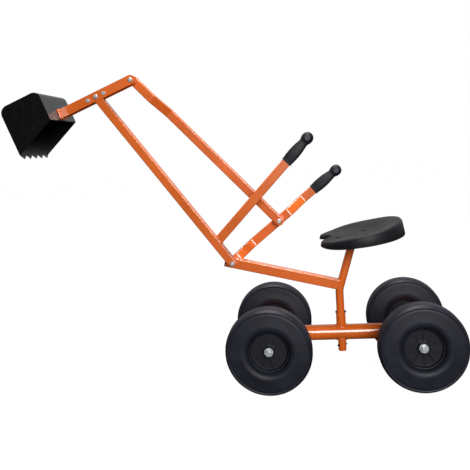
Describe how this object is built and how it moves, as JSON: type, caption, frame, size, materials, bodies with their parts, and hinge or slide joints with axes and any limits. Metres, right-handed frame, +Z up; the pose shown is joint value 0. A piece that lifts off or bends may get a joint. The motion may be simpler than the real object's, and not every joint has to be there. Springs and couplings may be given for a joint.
{
  "type": "ride-on sand digger",
  "caption": "Ride-on toy digger on wheels with a swivelling seat and arm, and two hand levers that lower the boom and curl the bucket.",
  "frame": {"origin": "on the ground under the swivel axis", "axes": "+X from the bucket towards the seat and rear wheels, +Y to the side of the long bent lever (the driver, facing -X, has it on the right hand), +Z up"},
  "size_m": [1.189, 0.36, 0.8584],
  "materials": {
    "orange_paint": "glossy orange powder coat",
    "bucket_paint": "glossy black enamel",
    "tyre": "satin black moulded",
    "hub_plastic": "satin black moulded",
    "grip": "matte black moulded",
    "seat_plastic": "satin black moulded",
    "black_plastic": "moulded black",
    "zinc": "bright zinc plate",
    "dark_steel": "blackened steel fasteners"
  },
  "bodies": {
    "chassis": {"chassis_beam": "orange_paint", "swivel_sleeve": "orange_paint", "front_cross_tube": "orange_paint", "rear_cross_tube": "orange_paint", "axle_bushings": "black_plastic", "front_axle_rod": "zinc", "rear_axle_rod": "zinc", "axle_washers": "zinc", "axle_nuts": "zinc"},
    "wheel_front_left": {"tyre_front_left": "tyre", "hub_front_left": "hub_plastic"},
    "wheel_front_right": {"tyre_front_right": "tyre", "hub_front_right": "hub_plastic"},
    "wheel_rear_left": {"tyre_rear_left": "tyre", "hub_rear_left": "hub_plastic"},
    "wheel_rear_right": {"tyre_rear_right": "tyre", "hub_rear_right": "hub_plastic"},
    "upper_frame": {"seat_post": "orange_paint", "arm_tube": "orange_paint", "arm_end_plug": "black_plastic", "swivel_bolts": "dark_steel", "swivel_nuts": "dark_steel", "seat_plate": "orange_paint", "seat": "seat_plastic", "seat_bolts": "dark_steel", "seat_nuts": "dark_steel", "main_pivot_bolt": "zinc", "main_pivot_nut": "zinc", "main_pivot_washers": "zinc"},
    "boom": {"boom_tube": "orange_paint", "left_lever": "orange_paint", "left_grip": "grip"},
    "stick": {"dipper_stick": "orange_paint", "stick_pivot_bolt": "zinc", "stick_pivot_nut": "zinc", "stop_bolts": "zinc", "stop_nuts": "zinc", "bucket_wrap": "bucket_paint", "bucket_side_left": "bucket_paint", "bucket_side_right": "bucket_paint", "rod_upper_bolt": "zinc", "rod_upper_nut": "zinc", "rod_upper_washers": "zinc"},
    "lever": {"right_lever": "orange_paint", "right_grip": "grip", "rod_lower_bolt": "zinc", "rod_lower_nut": "zinc", "rod_lower_washer": "zinc"},
    "rod": {"push_rod": "orange_paint"}
  },
  "joints": [
    {"name": "swivel", "type": "hinge", "parent": "chassis", "child": "upper_frame", "pos_m": [0, 0, 0.1125], "axis": [0, 0, 1], "continuous": true},
    {"name": "wheel_front_left_spin", "type": "hinge", "parent": "chassis", "child": "wheel_front_left", "pos_m": [-0.194, -0.15, 0.1125], "axis": [0, -1, 0], "continuous": true},
    {"name": "wheel_front_right_spin", "type": "hinge", "parent": "chassis", "child": "wheel_front_right", "pos_m": [-0.194, 0.15, 0.1125], "axis": [0, -1, 0], "continuous": true},
    {"name": "wheel_rear_left_spin", "type": "hinge", "parent": "chassis", "child": "wheel_rear_left", "pos_m": [0.194, -0.15, 0.1125], "axis": [0, -1, 0], "continuous": true},
    {"name": "wheel_rear_right_spin", "type": "hinge", "parent": "chassis", "child": "wheel_rear_right", "pos_m": [0.194, 0.15, 0.1125], "axis": [0, -1, 0], "continuous": true},
    {"name": "boom_pivot", "type": "hinge", "parent": "upper_frame", "child": "boom", "pos_m": [-0.2894, -0.028, 0.3215], "axis": [0, -1, 0], "range_deg": [-2, 60]},
    {"name": "lever_pivot", "type": "hinge", "parent": "boom", "child": "lever", "pos_m": [-0.2894, 0.028, 0.3215], "axis": [0, -1, 0], "range_deg": [-16, 8]},
    {"name": "stick_pivot", "type": "hinge", "parent": "boom", "child": "stick", "pos_m": [-0.64359, -0.028, 0.80456], "axis": [0, -1, 0], "range_deg": [-28, 14]},
    {"name": "rod_pivot", "type": "hinge", "parent": "lever", "child": "rod", "pos_m": [-0.15765, 0.0465, 0.42444], "axis": [0, -1, 0], "range_deg": [-9, 18]}
  ],
  "couplings": [
    {"joint": "stick_pivot", "follows": "lever_pivot", "ratio": 1.7306},
    {"joint": "rod_pivot", "follows": "lever_pivot", "ratio": -1.1124}
  ]
}
